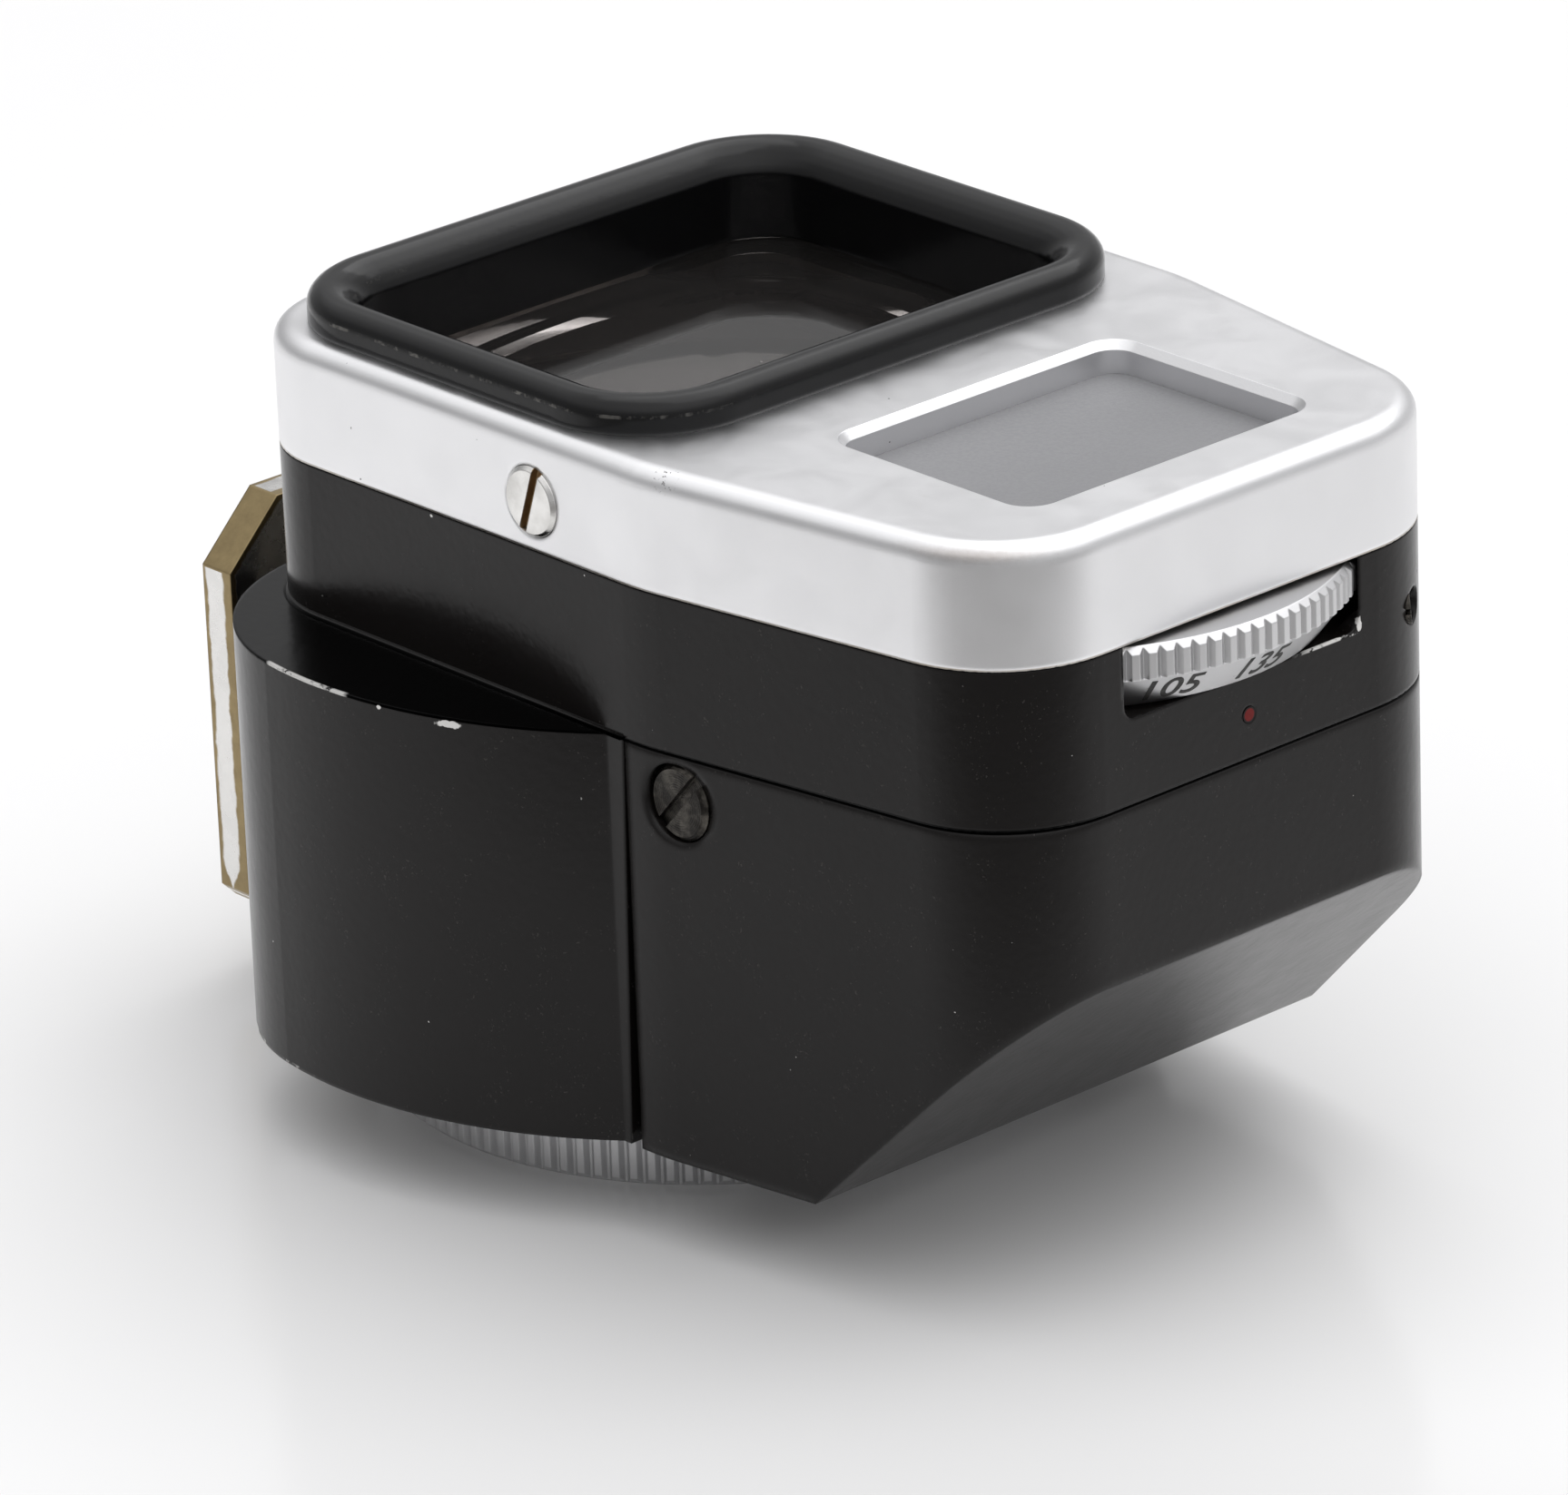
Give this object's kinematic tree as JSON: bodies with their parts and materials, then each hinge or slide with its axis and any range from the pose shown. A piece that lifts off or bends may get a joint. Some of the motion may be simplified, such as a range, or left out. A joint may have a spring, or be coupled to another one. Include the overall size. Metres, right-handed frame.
{
  "type": "camera viewfinder",
  "caption": "Shoe-mounted optical viewfinder with a knurled focal-length dial, a frosted frame window and a parallax ring that tilts its foot.",
  "frame": {"origin": "on the eyepiece axis at the rear face, the plane the finder stands on", "axes": "+Z along the line of sight towards the subject, +X away from the accessory foot towards the dial end, +Y across the body"},
  "size_m": [0.0541, 0.0392, 0.0347],
  "materials": {
    "black_enamel": "semi-gloss black enamel on an aluminium casting, chipped at edges",
    "satin_chrome": "fine matte satin chrome",
    "gloss_black": "gloss black enamel, worn at the outer edge",
    "lens_glass": "polished",
    "frosted_glass": "ground",
    "half_mirror": "half-silvered",
    "mirror_glass": "surface silvered",
    "blackened_brass": "matte blackened",
    "nickel_silver": "dull nickelled",
    "raw_brass": "bright",
    "worn_chrome": "chromed brass worn to the brass along its edges",
    "bright_nickel": "polished",
    "black_steel": "blackened, turned face",
    "spring_steel": "bright",
    "red_enamel": "filled enamel"
  },
  "bodies": {
    "housing": {"main_casting": "black_enamel", "front_cap": "satin_chrome", "rear_cover": "black_enamel", "window_bezel": "gloss_black", "front_lens": "lens_glass", "inner_plate": "blackened_brass", "frosted_window": "frosted_glass", "pane_frame": "nickel_silver", "frame_reticle": "lens_glass", "index_dot": "red_enamel", "detent_screw": "black_steel", "detent_spring": "spring_steel", "detent_ball": "spring_steel", "cap_screws": "bright_nickel", "cover_screws": "black_steel", "plate_screws": "raw_brass", "beam_splitter": "half_mirror", "splitter_holder": "blackened_brass", "frame_mirror": "mirror_glass", "mirror_holder": "blackened_brass", "eyepiece_lens": "lens_glass", "eyepiece_cell": "blackened_brass", "eyepiece_retainer": "blackened_brass", "pivot_pin": "spring_steel"},
    "dial": {"focal_dial": "satin_chrome", "selector_disc": "blackened_brass"},
    "ring": {"parallax_ring": "satin_chrome"},
    "foot": {"foot_plate": "worn_chrome", "foot_bracket": "blackened_brass", "cam_pin": "spring_steel", "foot_screws": "bright_nickel"}
  },
  "joints": [
    {"name": "dial_turn", "type": "hinge", "parent": "housing", "child": "dial", "pos_m": [0.0211, 0, 0.0267], "axis": [0, 0, 1], "range_deg": [0, 64.8]},
    {"name": "ring_turn", "type": "hinge", "parent": "housing", "child": "ring", "pos_m": [0, 0, 0.002], "axis": [0, 0, 1], "range_deg": [0, 150]},
    {"name": "foot_tilt", "type": "hinge", "parent": "housing", "child": "foot", "pos_m": [-0.0146, 0, 0.018], "axis": [0, 1, 0], "range_deg": [0, 2.4]}
  ],
  "couplings": [
    {"joint": "foot_tilt", "follows": "ring_turn", "ratio": 0.016}
  ]
}
